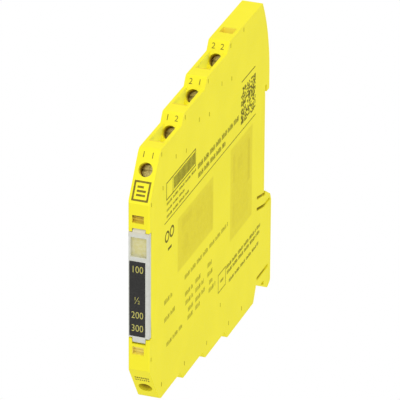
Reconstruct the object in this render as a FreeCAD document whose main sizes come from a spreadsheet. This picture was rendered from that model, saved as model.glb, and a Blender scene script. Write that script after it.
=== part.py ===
import FreeCAD, Part
import math
import os
import re
import Sketcher

from FreeCAD import Placement, Rotation, Vector

# A safety relay in a slim housing that snaps onto a 35 mm top-hat rail.
#
# Every piece is drawn in the housing's profile frame: Y runs from the front face back to the rail,
# Z is measured from the housing's mid height and X from the middle of its width. The pieces are then
# placed so that the origin lies on the rail seat, level with the rail's centre line.

doc = FreeCAD.newDocument("SafetyRelay")
sheet = doc.addObject("Spreadsheet::Sheet", "Sizes")

SIZES = {
    # housing profile
    "housing_width": 6.2,
    "housing_height": 93.2,
    "seat_depth": 95.5,
    "rail_offset": 1.8,
    "driver_angle": 33.0,
    "slant_run": 8.3,
    "terminal_pitch": 18.6,
    "tread_rise": 2.8,
    "corner_radius": 1.0,
    "brow_radius": 2.5,
    "edge_radius": 0.4,
    "wall": 0.8,
    "rim": 1.0,
    "cover_gap": 0.1,
    "back_lean": 3.1,
    "back_curve_drop": 24.2,
    "bevel_run": 2.2,
    "bevel_rise": 4.2,
    # rail
    "rail_width": 35.0,
    "rail_thickness": 1.0,
    "rail_clearance": 0.2,
    "hook_reach": 3.5,
    "hook_grip": 2.3,
    "seat_relief": 0.1,
    # cavity
    "front_wall": 3.0,
    "cavity_brow": 4.0,
    "cavity_margin": 12.3,
    "seat_wall": 1.9,
    "foot_wall_depth": 4.6,
    "attic_wall": 2.0,
    "attic_start": 16.4,
    # terminals
    "hole_drop": 5.7,
    "bore_radius": 2.0,
    "mouth_setback": 5.5,
    "mouth_length": 3.9,
    "mouth_width": 4.0,
    "chamber_depth": 3.0,
    "chamber_room": 0.3,
    "side_room": 0.25,
    "head_depth": 2.6,
    "head_radius": 1.8,
    "head_height": 1.1,
    "head_slot_width": 0.6,
    "head_slot_depth": 0.6,
    "shank_radius": 1.25,
    "thread_clearance": 0.05,
    "cage_travel": 1.6,
    "cage_length": 3.6,
    "cage_top": 1.1,
    "cage_side": 0.6,
    "cage_floor": 0.8,
    "cage_window": 3.5,
    "bar_thickness": 0.6,
    "bar_width": 2.6,
    "bar_room": 0.2,
    "bar_tail": 5.4,
    "bar_tab": 4.0,
    # front flap
    "flap_thickness": 0.9,
    "flap_depth": 1.4,
    "flap_gap": 0.15,
    "flap_foot": 0.5,
    "flap_hollow": 4.4,
    "flap_top": 16.7,
    "tongue_top": 17.8,
    "tongue_width": 3.7,
    "window_left": -2.4,
    "window_right": 2.2,
    "window_low": 9.3,
    "window_high": 15.2,
    "window_setback": 0.6,
    "hinge_height": -16.4,
    "hinge_depth": 0.8,
    "knuckle_radius": 0.8,
    "pin_radius": 0.45,
    "pin_clearance": 0.05,
    "pin_reach": 0.4,
    "cheek_drop": 0.5,
    # label
    "label_width": 4.6,
    "label_offset": -0.45,
    "label_low": -15.0,
    "label_high": 7.9,
    "label_thickness": 0.3,
    "label_gap": 0.05,
    "label_corner": 0.5,
    # marker grooves
    "groove_width": 3.4,
    "groove_offset": -0.25,
    "groove_height": 2.4,
    "groove_depth": 1.2,
    "groove_rib_depth": 0.3,
    "upper_groove": 20.7,
    "lower_groove": -19.5,
    # board
    "board_thickness": 1.0,
    "board_face": -0.95,
    "board_margin": 1.1,
    "board_front": 5.0,
    "post_radius": 1.2,
    # relays
    "relay_length": 28.0,
    "relay_height": 15.0,
    "relay_thickness": 4.7,
    "relay_room": 0.4,
    "relay_corner": 0.6,
    "panel_thinning": 0.4,
    "pin_length": 1.4,
    "pin_width": 1.0,
    "pin_thickness": 0.3,
    # light guide
    "guide_width": 3.0,
    "guide_gap": 0.2,
    "guide_low": -14.4,
    "guide_high": 7.0,
    "guide_plate": 1.2,
    "light_bar": 1.5,
    # side marks
    "mark_width": 0.5,
    "mark_height": 1.4,
    "mark_depth": 0.4,
    # finger scoop beside the flap
    "scoop_radius": 400.0,
    "scoop_sink": 1.0,
    "scoop_lead": 22.3,
    "scoop_height": 1.2,
    # rail foot
    "foot_recess": 6.3,
    "foot_ceiling": 2.6,
    "ceiling_fall": 1.5,
    "foot_gap": 0.12,
    "foot_inset": 0.1,
    "foot_head_gap": 1.15,
    "foot_head_fall": 1.3,
    "foot_reach": 6.8,
    "foot_nose_drop": 2.9,
    "foot_nose_run": 4.5,
    "foot_bottom": -47.6,
    "foot_heel": 5.7,
    "foot_corner": 1.0,
    "foot_slit": 1.0,
    "lower_slit": -40.3,
    "lower_slit_height": 1.1,
    "pocket_depth": 1.0,
    "foot_arm": 2.6,
    "foot_arm_fall": 1.65,
    "foot_web": 1.3,
    "tail_head_width": 3.2,
    "tail_neck_width": 1.6,
    "tail_head_depth": 1.7,
    "tail_neck_depth": 1.1,
    "tail_room": 0.2,
    "tail_low": -38.0,
    "tail_high": -20.0,
}

# Parts on the board: centre along Y and Z, then length, height and thickness.
BOARD_PARTS = {
    "microcontroller_1": (15.5, 7.0, 7.0, 7.0, 1.2),
    "microcontroller_2": (15.5, -6.0, 7.0, 7.0, 1.2),
    "power_inductor": (60.0, -7.5, 8.0, 8.0, 3.0),
    "smoothing_capacitor_1": (60.0, 4.0, 7.3, 4.3, 2.8),
    "smoothing_capacitor_2": (60.0, 12.0, 7.3, 4.3, 2.8),
    "optocoupler_1": (33.0, 17.0, 6.5, 4.6, 2.1),
    "optocoupler_2": (44.0, 18.5, 6.5, 4.6, 2.1),
    "fuse": (29.0, -17.0, 7.4, 3.0, 2.4),
    "bridge_rectifier": (40.0, -18.5, 6.2, 5.0, 2.2),
    "suppressor_diode": (51.0, -19.5, 4.6, 3.6, 2.3),
    "power_led": (6.3, 4.6, 1.8, 1.5, 1.5),
    "channel_led": (6.3, -3.4, 1.8, 1.5, 1.5),
    "error_led": (6.3, -8.4, 1.8, 1.5, 1.5),
    "diagnosis_led": (6.3, -12.6, 1.8, 1.5, 1.5),
}

# Relays: centre along Y and Z, and whether the long side stands upright.
RELAYS = {
    "safety_relay_1": (38.2, 0.5, False),
    "safety_relay_2": (74.6, -4.0, True),
}

# Posts that carry the board: centre along Y and Z.
POSTS = ((22.0, 17.5), (22.0, -19.0), (62.0, 25.0), (60.0, -26.0), (89.0, 22.0))

# Moulding marks at each upper terminal, outward along the wire and deep along the screw.
TERMINAL_MARKS = ((5.0, 1.9), (6.4, 14.6), (9.2, 22.6))

# Other moulding marks: centre along Y and Z.
LOOSE_MARKS = (
    (10.6, 25.9), (1.6, 25.0), (76.3, 45.2), (76.8, -43.3), (1.4, -22.2), (58.2, -33.1),
)

BOARD_FIELDS = ("y", "z", "length", "height", "thickness")
TERMINALS = range(4)

for part_name, measures in BOARD_PARTS.items():
    for field, measure in zip(BOARD_FIELDS, measures):
        SIZES[f"{part_name}_{field}"] = measure
for part_name, (centre_y, centre_z, _) in RELAYS.items():
    SIZES[f"{part_name}_y"] = centre_y
    SIZES[f"{part_name}_z"] = centre_z

for row, (alias, size) in enumerate(SIZES.items(), start=1):
    sheet.set(f"A{row}", alias)
    sheet.set(f"B{row}", str(size))
    sheet.setAlias(f"B{row}", alias)
doc.recompute()

NAMES = re.compile(r"\b(" + "|".join(sorted(SIZES, key=len, reverse=True)) + r")\b")


def bound(expression):
    """Point each size that an expression names at its cell in the sheet."""
    return NAMES.sub(r"Sizes.\1", expression)


def number(expression):
    """Work out an expression with the sheet's present sizes."""
    return float(sheet.evalExpression(bound(expression)))


# ---------------------------------------------------------------- drawing

def new_body(label):
    body = doc.addObject("PartDesign::Body", label)
    body.Label = label
    return body


def sketch_on(body, role, height="0"):
    """Start a sketch on one of the body's own planes, raised along the plane's normal."""
    sketch = body.newObject("Sketcher::SketchObject", "Sketch")
    for plane in body.Origin.OriginFeatures:
        if plane.Role == role:
            sketch.AttachmentSupport = [(plane, "")]
    sketch.MapMode = "FlatFace"
    sketch.setExpression("AttachmentOffset.Base.z", bound(height))
    return sketch


def arc_between(start, end, radius):
    """The shorter arc that runs anticlockwise from start to end."""
    chord = end - start
    middle = (start + end) * 0.5
    rise = math.sqrt(radius ** 2 - (chord.Length / 2) ** 2)
    centre = middle + Vector(-chord.y, chord.x, 0).normalize() * rise
    first = math.atan2(start.y - centre.y, start.x - centre.x)
    last = math.atan2(end.y - centre.y, end.x - centre.x)
    return Part.ArcOfCircle(Part.Circle(centre, Vector(0, 0, 1), radius), first, last)


def add_polygon(sketch, corners):
    """Close an outline through corners given as expressions.

    A third expression on a corner is the radius of the arc that leads on from it.
    """
    first = sketch.GeometryCount
    places = [Vector(number(corner[0]), number(corner[1]), 0) for corner in corners]
    for step, corner in enumerate(corners):
        here = places[step]
        there = places[(step + 1) % len(corners)]
        if len(corner) == 3:
            edge = sketch.addGeometry(arc_between(here, there, number(corner[2])))
            index = sketch.addConstraint(Sketcher.Constraint("Radius", edge, number(corner[2])))
            sketch.setExpression(f"Constraints[{index}]", bound(corner[2]))
        else:
            sketch.addGeometry(Part.LineSegment(here, there))
    for step, corner in enumerate(corners):
        edge = first + step
        following = first + (step + 1) % len(corners)
        sketch.addConstraint(Sketcher.Constraint("Coincident", edge, 2, following, 1))
        offsets = (("DistanceX", corner[0], places[step].x), ("DistanceY", corner[1], places[step].y))
        for kind, expression, start in offsets:
            index = sketch.addConstraint(Sketcher.Constraint(kind, -1, 1, edge, 1, start))
            sketch.setExpression(f"Constraints[{index}]", bound(expression))


def add_circle(sketch, across, up, radius):
    """A circle whose centre and radius are expressions."""
    centre = Vector(number(across), number(up), 0)
    edge = sketch.addGeometry(Part.Circle(centre, Vector(0, 0, 1), number(radius)))
    offsets = (("DistanceX", across, centre.x), ("DistanceY", up, centre.y))
    for kind, expression, start in offsets:
        index = sketch.addConstraint(Sketcher.Constraint(kind, -1, 1, edge, 3, start))
        sketch.setExpression(f"Constraints[{index}]", bound(expression))
    index = sketch.addConstraint(Sketcher.Constraint("Radius", edge, number(radius)))
    sketch.setExpression(f"Constraints[{index}]", bound(radius))


def box_corners(low_x, high_x, low_y, high_y):
    return [(low_x, low_y), (high_x, low_y), (high_x, high_y), (low_x, high_y)]


def extrude(body, kind, sketch, length, midplane=False, backward=False):
    """Pad or pocket a sketch and check that it changed the body's volume."""
    before = 0.0 if body.Tip is None else body.Shape.Volume
    feature = body.newObject(f"PartDesign::{kind}", kind)
    feature.Profile = sketch
    feature.setExpression("Length", bound(length))
    feature.Midplane = midplane
    feature.Reversed = backward
    doc.recompute()
    if abs(body.Shape.Volume - before) < 1e-4:
        raise RuntimeError(f"{body.Label}: a {kind} changed nothing")
    return feature


def pad(body, sketch, length, **how):
    return extrude(body, "Pad", sketch, length, **how)


def pocket(body, sketch, length, **how):
    return extrude(body, "Pocket", sketch, length, **how)


def profile_pad(body, corners, width):
    """Pad a side profile evenly to both sides of the middle."""
    sketch = sketch_on(body, "YZ_Plane")
    add_polygon(sketch, corners)
    return pad(body, sketch, width, midplane=True)


def profile_pocket(body, outlines, width):
    """Cut side profiles evenly to both sides of the middle."""
    sketch = sketch_on(body, "YZ_Plane")
    for corners in outlines:
        add_polygon(sketch, corners)
    return pocket(body, sketch, width, midplane=True)


def cross_edges(shape, places):
    """Names of the edges that run across the width through the given places of the profile."""
    names = []
    for count, edge in enumerate(shape.Edges, start=1):
        if len(edge.Vertexes) != 2:
            continue
        start, end = (vertex.Point for vertex in edge.Vertexes)
        if math.hypot(start.y - end.y, start.z - end.z) > 1e-6:
            continue
        if any(math.hypot(start.y - y, start.z - z) < 1e-3 for y, z in places):
            names.append(f"Edge{count}")
    return names


def round_edges(body, names, radius):
    base = body.Tip
    feature = body.newObject("PartDesign::Fillet", "Fillet")
    feature.Base = (base, names)
    feature.setExpression("Radius", bound(radius))
    doc.recompute()
    if "Invalid" in feature.State:
        raise RuntimeError(f"{body.Label}: a rounding failed")
    return feature


def settle(body):
    """Move a body from the profile frame to the part's frame on the rail."""
    body.Placement = Placement(SEAT, Rotation())


SEAT = Vector(0, -number("seat_depth"), -number("rail_offset"))
pieces = []

# ---------------------------------------------------------------- places that pieces share

INNER_LEFT = "(-housing_width / 2 + wall)"
INNER_RIGHT = "(housing_width / 2 - wall)"
LEAN = "tan(driver_angle)"
FOOT_WALL = "(seat_depth - foot_recess)"
RAIL_TOP = "(rail_offset + rail_width / 2)"
RAIL_BOTTOM = "(rail_offset - rail_width / 2)"
FOOT_CEILING = f"({RAIL_BOTTOM} + foot_ceiling)"


def tread(step):
    """Height of one tread above mid height; step 3 is the rearmost and highest."""
    return f"(housing_height / 2 - {3 - step} * tread_rise)"


def brow(step):
    """Front corner of a tread."""
    return (f"slant_run + {step} * terminal_pitch", tread(step))


def riser_foot(step):
    """Foot of the riser that climbs to a tread."""
    return (f"slant_run + {step} * terminal_pitch - tread_rise * {LEAN}", tread(step - 1))


def mirrored(corners):
    """The same corners below mid height, in the order that keeps the outline anticlockwise."""
    flipped = []
    for corner in corners:
        flipped.append((corner[0], f"-({corner[1]})"))
    return flipped[::-1]


def at_terminal(step, outward, depth):
    """A point at a terminal: outward along the wire, and depth along the screw."""
    place_y = (
        f"(slant_run + {step} * terminal_pitch"
        f" + ({outward} - hole_drop) * sin(driver_angle) + ({depth}) * cos(driver_angle))"
    )
    place_z = (
        f"({tread(step)}"
        f" + ({outward} - hole_drop) * cos(driver_angle) - ({depth}) * sin(driver_angle))"
    )
    return (place_y, place_z)


# Depths along the screw, counted from the face that the bore opens in.
HEAD_UNDERSIDE = "(head_depth + head_height)"
CAGE_DEPTH = f"({HEAD_UNDERSIDE} + 0.1 + cage_travel)"
WINDOW_DEPTH = f"({CAGE_DEPTH} + cage_top)"
BAR_DEPTH = f"({WINDOW_DEPTH} + bar_room)"
CAGE_END = f"({WINDOW_DEPTH} + cage_window + cage_floor)"
CHAMBER_END = f"({CAGE_END} + chamber_room)"
CHAMBER_HALF = "(cage_length / 2 + chamber_room)"


def both_sides(outlines):
    return outlines + [mirrored(corners) for corners in outlines]


# ---------------------------------------------------------------- housing shell

def slant_foot():
    return f"({tread(0)} - slant_run / {LEAN})"


def stepped_side(inset="0"):
    """Corners of the upper stepped side from the back to the front, moved in by an inset."""
    shift = f"({inset}) * (1 / cos(driver_angle) - {LEAN})"
    corners = []
    for step in (3, 2, 1):
        for corner in (brow(step), riser_foot(step)):
            corners.append((f"{corner[0]} + {shift}", f"{corner[1]} - ({inset})"))
    corners.append((f"{brow(0)[0]} + {shift}", f"{brow(0)[1]} - ({inset})"))
    front_z = f"{slant_foot()} + ({inset}) * (1 - 1 / cos(driver_angle)) / {LEAN}"
    corners.append((f"({inset})", front_z))
    return corners


def housing_outline():
    hook_back = "seat_depth + hook_reach"
    top_back = "seat_depth - back_lean"
    groove_back = "seat_depth + rail_thickness + rail_clearance"
    groove_top = f"{RAIL_TOP} + rail_clearance"
    hook_under = f"{groove_top} - hook_grip"
    curve_run = "(hook_reach + back_lean)"
    curve_radius = f"({curve_run} ^ 2 + back_curve_drop ^ 2) / (2 * {curve_run})"
    rear = [
        (f"{FOOT_WALL} - bevel_run", f"-{tread(3)}"),
        (FOOT_WALL, f"-{tread(3)} + bevel_rise"),
        (FOOT_WALL, FOOT_CEILING),
        ("seat_depth", f"{FOOT_CEILING} - ceiling_fall"),
        ("seat_depth", f"{hook_under} - 0.2"),
        ("seat_depth - seat_relief", f"{hook_under} - 0.2"),
        ("seat_depth - seat_relief", groove_top),
        (groove_back, groove_top),
        (groove_back, hook_under),
        (hook_back, hook_under),
        (hook_back, f"{tread(3)} - back_curve_drop", curve_radius),
        (top_back, tread(3)),
    ]
    return mirrored(stepped_side()) + rear + stepped_side()


def cover_outline(inset):
    """The cover's outline, set in from the housing's edge."""
    rear = [
        (f"{FOOT_WALL} - bevel_run - ({inset})", f"-{tread(3)} + ({inset})"),
        (f"{FOOT_WALL} - ({inset})", f"-{tread(3)} + bevel_rise"),
        (f"{FOOT_WALL} - ({inset})", f"{FOOT_CEILING} + ({inset})"),
        (f"seat_depth - ({inset})", f"{FOOT_CEILING} + ({inset})"),
        (f"seat_depth - ({inset})", f"{tread(3)} - back_curve_drop / 2"),
        (f"seat_depth - back_lean - ({inset})", f"{tread(3)} - ({inset})"),
    ]
    return mirrored(stepped_side(inset)) + rear + stepped_side(inset)


def cavity_height(place):
    """Height of the cavity's stepped roof line at a distance from the front."""
    return f"({tread(0)} - cavity_margin + (({place}) - front_wall - cavity_brow) * tread_rise / terminal_pitch)"


def cavity_outline():
    brow_y = "front_wall + cavity_brow"
    attic_y = "seat_depth - back_lean - attic_start"
    attic_top = f"{tread(3)} - attic_wall"
    attic_back = "seat_depth - back_lean - attic_wall"
    roof = [
        (attic_y, attic_top),
        (attic_y, cavity_height(attic_y)),
        (brow_y, cavity_height(brow_y)),
        ("front_wall", f"{cavity_height(brow_y)} - cavity_brow"),
    ]
    foot_y = f"{FOOT_WALL} - foot_wall_depth"
    rear = [
        (foot_y, f"-({attic_top})"),
        (foot_y, f"{FOOT_CEILING} + seat_wall"),
        ("seat_depth - seat_wall", f"{FOOT_CEILING} + seat_wall"),
        ("seat_depth - seat_wall", f"{tread(3)} - back_curve_drop / 2"),
        (attic_back, attic_top),
    ]
    return mirrored(roof) + rear + roof


def driver_notch(step):
    """The notch in a tread that lets a screwdriver down to the next terminal's screw."""
    lip_y = f"{brow(step - 1)[0]} + mouth_setback"
    foot_y = riser_foot(step)[0]
    floor_y = f"{lip_y} + ({foot_y} - ({lip_y})) * cos(driver_angle) ^ 2"
    floor_z = f"{tread(step - 1)} - ({foot_y} - ({lip_y})) * cos(driver_angle) * sin(driver_angle)"
    level = tread(step - 1)
    return [
        (lip_y, level),
        (floor_y, floor_z),
        (foot_y, level),
        (foot_y, f"{level} + 0.5"),
        (lip_y, f"{level} + 0.5"),
    ]


def wire_way(step):
    """The funnel from a tread down to the mouth of the clamp."""
    lip_y = f"{brow(step)[0]} + mouth_setback"
    return [
        (lip_y, tread(step)),
        at_terminal(step, CHAMBER_HALF, f"{BAR_DEPTH} + bar_thickness"),
        at_terminal(step, CHAMBER_HALF, f"{CAGE_END} - cage_floor"),
        (f"{lip_y} + mouth_length", tread(step)),
    ]


def relay_box(name, room):
    """Outline of the space for one relay, with some room round it."""
    upright = RELAYS[name][2]
    half_y = "relay_height / 2" if upright else "relay_length / 2"
    half_z = "relay_length / 2" if upright else "relay_height / 2"
    return box_corners(
        f"{name}_y - {half_y} - {room}", f"{name}_y + {half_y} + {room}",
        f"{name}_z - {half_z} - {room}", f"{name}_z + {half_z} + {room}",
    )


def mark_corners(centre_y, centre_z):
    return box_corners(
        f"{centre_y} - mark_width / 2", f"{centre_y} + mark_width / 2",
        f"{centre_z} - mark_height / 2", f"{centre_z} + mark_height / 2",
    )


shell = new_body("housing_shell")
profile_pad(shell, housing_outline(), "housing_width")
front_edges = []
for count, edge in enumerate(shell.Shape.Edges, start=1):
    ends = [vertex.Point for vertex in edge.Vertexes]
    if max(abs(ends[0].y), abs(ends[1].y), abs(ends[0].x - ends[1].x)) < 1e-6:
        front_edges.append(f"Edge{count}")
round_edges(shell, front_edges, "edge_radius")
brows = [brow(step) for step in (1, 2, 3)]
soft_corners = [(number(y), number(z)) for y, z in brows]
soft_corners += [(y, -z) for y, z in soft_corners]
round_edges(shell, cross_edges(shell.Shape, soft_corners), "corner_radius")
first_brow = (number(brow(0)[0]), number(brow(0)[1]))
brow_places = [first_brow, (first_brow[0], -first_brow[1])]
round_edges(shell, cross_edges(shell.Shape, brow_places), "brow_radius")

# Recess for the cover, then the space inside.
rebate = sketch_on(shell, "YZ_Plane", "-housing_width / 2")
add_polygon(rebate, cover_outline("rim"))
pocket(shell, rebate, "wall", backward=True)
cavity = sketch_on(shell, "YZ_Plane", INNER_LEFT)
add_polygon(cavity, cavity_outline())
pocket(shell, cavity, "housing_width - 2 * wall", backward=True)

# Clamp chambers, each with a side window for the contact bar's tail.
chambers = sketch_on(shell, "YZ_Plane", INNER_LEFT)
for step in TERMINALS:
    chamber = [
        at_terminal(step, f"-{CHAMBER_HALF}", "chamber_depth"),
        at_terminal(step, f"-{CHAMBER_HALF}", f"{BAR_DEPTH} - bar_thickness"),
        at_terminal(step, "-bar_tail - bar_thickness", f"{BAR_DEPTH} - bar_thickness"),
        at_terminal(step, "-bar_tail - bar_thickness", CHAMBER_END),
        at_terminal(step, CHAMBER_HALF, CHAMBER_END),
        at_terminal(step, CHAMBER_HALF, "chamber_depth"),
    ]
    for corners in both_sides([chamber]):
        add_polygon(chambers, corners)
pocket(shell, chambers, "housing_width - 2 * wall", backward=True)

# Wire funnels in the treads and screwdriver notches in front of the risers.
profile_pocket(shell, both_sides([wire_way(step) for step in TERMINALS]), "mouth_width")
profile_pocket(shell, both_sides([driver_notch(step) for step in (1, 2, 3)]), "mouth_width")

# Front: the flap's seat, its tongue, its knuckle and the light guide's opening.
CHEEK = "(hinge_height + cheek_drop)"
FLAP_SEAT = "(flap_depth + flap_gap)"
FLAP_CEILING = "(flap_top + 0.2)"
profile_pocket(
    shell,
    [box_corners("-1", FLAP_SEAT, CHEEK, FLAP_CEILING)],
    "housing_width + 1",
)
profile_pocket(
    shell,
    [
        box_corners("-1", "hinge_depth + knuckle_radius + 0.3", "hinge_height - knuckle_radius - 0.3", CHEEK),
        box_corners("-1", FLAP_SEAT, FLAP_CEILING, "tongue_top + 0.2"),
    ],
    "tongue_width + 2 * flap_gap",
)
profile_pocket(
    shell,
    [box_corners("flap_depth", "front_wall + 0.5", "guide_low - guide_gap", "guide_high + guide_gap")],
    "guide_width + 2 * guide_gap",
)
hinge_holes = sketch_on(shell, "YZ_Plane")
add_circle(hinge_holes, "hinge_depth", "hinge_height", "pin_radius + pin_clearance")
pocket(shell, hinge_holes, "tongue_width + 2 * pin_reach + 0.2", midplane=True)

# Marker grooves: a shallow seat with three deeper slots between its ribs.
GROOVE_LEFT = "(groove_offset - groove_width / 2)"
GROOVE_RIGHT = "(groove_offset + groove_width / 2)"
grooves = sketch_on(shell, "XZ_Plane")
slots = sketch_on(shell, "XZ_Plane")
for centre in ("upper_groove", "lower_groove"):
    low = f"{centre} - groove_height / 2"
    high = f"{centre} + groove_height / 2"
    add_polygon(grooves, box_corners(GROOVE_LEFT, GROOVE_RIGHT, low, high))
    for place in (-1, 0, 1):
        middle = f"{centre} + {place} * groove_height / 3"
        low = f"{middle} - groove_height / 10"
        high = f"{middle} + groove_height / 10"
        add_polygon(slots, box_corners(GROOVE_LEFT, GROOVE_RIGHT, low, high))
pocket(shell, grooves, "groove_depth")
pocket(shell, slots, "groove_depth + groove_rib_depth")

# Thinner wall beside each relay.
panels = sketch_on(shell, "YZ_Plane", INNER_RIGHT)
for name in RELAYS:
    add_polygon(panels, relay_box(name, "relay_room"))
pocket(shell, panels, "panel_thinning", backward=True)

# Posts that carry the board.
posts = sketch_on(shell, "YZ_Plane", INNER_RIGHT)
for post_y, post_z in POSTS:
    add_circle(posts, str(post_y), str(post_z), "post_radius")
pad(shell, posts, f"{INNER_RIGHT} - board_face", backward=True)

# Guide for the rail foot, open at the bottom.
guide = sketch_on(shell, "XY_Plane", f"-{tread(3)} - 0.5")
TAIL_FRONT = f"({FOOT_WALL} - tail_neck_depth - tail_head_depth + foot_gap)"
TAIL_BACK = f"({FOOT_WALL} - tail_neck_depth + foot_gap)"


def tail_section(room):
    """T-shaped section of the rail foot's guide, with some room round it."""
    head = f"(tail_head_width / 2 + {room})"
    neck = f"(tail_neck_width / 2 + {room})"
    front = f"{TAIL_FRONT} - {room}"
    back = f"{TAIL_BACK} + {room}"
    end = f"{FOOT_WALL} + foot_gap + 0.4"
    return [
        (f"-{head}", front), (head, front), (head, back), (neck, back),
        (neck, end), (f"-{neck}", end), (f"-{neck}", back), (f"-{head}", back),
    ]


add_polygon(guide, tail_section("tail_room"))
pocket(shell, guide, f"tail_high + {tread(3)} + 0.5 + 0.3", backward=True)

# Small moulding marks on the right-hand face.
marks = sketch_on(shell, "YZ_Plane", "housing_width / 2")
for step in TERMINALS:
    for outward, depth in TERMINAL_MARKS:
        if step < TERMINALS[-1] or (outward, depth) == TERMINAL_MARKS[0]:
            add_polygon(marks, mark_corners(*at_terminal(step, str(outward), str(depth))))
    mark_y, mark_z = at_terminal(step, "3.0", "3.4")
    add_polygon(marks, mark_corners(mark_y, f"-({mark_z})"))
for mark_y, mark_z in LOOSE_MARKS:
    add_polygon(marks, mark_corners(str(mark_y), str(mark_z)))
pocket(shell, marks, "mark_depth")

# Screw bores, square to the slanted faces, and the shallow finger scoop beside the flap.
bore_tools = []
scoop = doc.addObject("Part::Sphere", "Scoop")
scoop.setExpression("Radius", bound("scoop_radius"))
scoop.Placement = Placement(
    SEAT + Vector(
        number("housing_width / 2 + scoop_radius - scoop_sink"), -number("scoop_lead"), number("scoop_height")
    ),
    Rotation(),
)
bore_tools.append(scoop)
for step in TERMINALS:
    start_y, start_z = at_terminal(step, "0", "-1.0")
    for side in (1, -1):
        bore = doc.addObject("Part::Cylinder", "Bore")
        bore.setExpression("Radius", bound("bore_radius"))
        bore.setExpression("Height", bound("chamber_depth + 1.2"))
        down = Vector(0, math.cos(math.radians(SIZES["driver_angle"])), 0)
        down.z = -side * math.sin(math.radians(SIZES["driver_angle"]))
        bore.Placement = Placement(
            SEAT + Vector(0, number(start_y), side * number(start_z)),
            Rotation(Vector(0, 0, 1), down),
        )
        bore_tools.append(bore)
settle(shell)
drills = doc.addObject("Part::MultiFuse", "Drills")
drills.Shapes = bore_tools
housing = doc.addObject("Part::Cut", "housing_shell_bored")
housing.Base = shell
housing.Tool = drills
shell.Label = "housing_blank"
housing.Label = "housing_shell"
pieces.append(housing)

# ---------------------------------------------------------------- housing cover

cover = new_body("housing_cover")
plate = sketch_on(cover, "YZ_Plane", "-housing_width / 2")
add_polygon(plate, cover_outline("rim + cover_gap"))
pad(cover, plate, "wall")
profile_pocket(cover, [box_corners("-1", FLAP_SEAT, CHEEK, FLAP_CEILING)], "housing_width + 1")
settle(cover)
pieces.append(cover)

# ---------------------------------------------------------------- front flap and label

flap = new_body("front_flap")
profile_pad(
    flap,
    [
        ("0", f"{CHEEK} + flap_foot"),
        ("flap_depth", f"{CHEEK} + flap_foot"),
        ("flap_depth", "tongue_top"),
        ("0.5", "tongue_top"),
        ("0", "tongue_top - 0.8"),
    ],
    "housing_width - 2 * foot_inset",
)

# Shoulders beside the tongue, then the hollow behind the plate that leaves two side flanges.
shoulders = sketch_on(flap, "XY_Plane", "flap_top")
for side in ("-", ""):
    add_polygon(
        shoulders,
        box_corners(f"{side}tongue_width / 2", f"{side}housing_width", "-1", "3"),
    )
pocket(flap, shoulders, "5", backward=True)
profile_pocket(
    flap,
    [box_corners("flap_thickness", "flap_depth + 0.2", f"{CHEEK} + flap_foot - 0.1", "window_low - 0.6")],
    "flap_hollow",
)
window = sketch_on(flap, "XZ_Plane")
add_polygon(window, box_corners("window_left", "window_right", "window_low", "window_high"))
pocket(flap, window, "window_setback")

# Knuckle and pins at the foot of the flap.
knuckle = sketch_on(flap, "YZ_Plane")
add_circle(knuckle, "hinge_depth", "hinge_height", "knuckle_radius")
pad(flap, knuckle, "tongue_width", midplane=True)
web = sketch_on(flap, "YZ_Plane")
add_polygon(
    web,
    box_corners("0", "hinge_depth + knuckle_radius - 0.3", "hinge_height + 0.1", f"{CHEEK} + flap_foot + 0.2"),
)
pad(flap, web, "tongue_width", midplane=True)
pins = sketch_on(flap, "YZ_Plane")
add_circle(pins, "hinge_depth", "hinge_height", "pin_radius")
pad(flap, pins, "tongue_width + 2 * pin_reach", midplane=True)

# Shallow seat for the label.
label_seat = sketch_on(flap, "XZ_Plane")
LABEL_LEFT = "(label_offset - label_width / 2)"
LABEL_RIGHT = "(label_offset + label_width / 2)"
add_polygon(
    label_seat,
    box_corners(
        f"{LABEL_LEFT} - label_gap", f"{LABEL_RIGHT} + label_gap",
        "label_low - label_gap", "label_high + label_gap",
    ),
)
pocket(flap, label_seat, "label_thickness", backward=False)
settle(flap)
pieces.append(flap)

label = new_body("marking_label")
label_face = sketch_on(label, "XZ_Plane")
add_polygon(label_face, box_corners(LABEL_LEFT, LABEL_RIGHT, "label_low", "label_high"))
pad(label, label_face, "label_thickness", backward=True)
upright_edges = []
for count, edge in enumerate(label.Shape.Edges, start=1):
    ends = [vertex.Point for vertex in edge.Vertexes]
    if abs(ends[0].x - ends[1].x) + abs(ends[0].z - ends[1].z) < 1e-6:
        upright_edges.append(f"Edge{count}")
round_edges(label, upright_edges, "label_corner")
settle(label)
pieces.append(label)

# ---------------------------------------------------------------- light guide

light_guide = new_body("light_guide")
profile_pad(
    light_guide,
    [
        (f"{FLAP_SEAT} + 0.05", "guide_low"),
        (f"{FLAP_SEAT} + 0.05 + guide_plate", "guide_low"),
        (f"{FLAP_SEAT} + 0.05 + guide_plate", "guide_high"),
        (f"{FLAP_SEAT} + 0.05", "guide_high"),
    ],
    "guide_width",
)
fingers = sketch_on(light_guide, "YZ_Plane")
for name in ("power_led", "channel_led", "error_led", "diagnosis_led"):
    add_polygon(
        fingers,
        box_corners(
            f"{FLAP_SEAT} + guide_plate - 0.1", f"{name}_y - {name}_length / 2 - 0.2",
            f"{name}_z - light_bar / 2", f"{name}_z + light_bar / 2",
        ),
    )
pad(light_guide, fingers, "light_bar", midplane=True)
settle(light_guide)
pieces.append(light_guide)

# ---------------------------------------------------------------- circuit board and what it carries

board = new_body("circuit_board")


def board_height(place):
    return f"({cavity_height(place)} - board_margin)"


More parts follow.
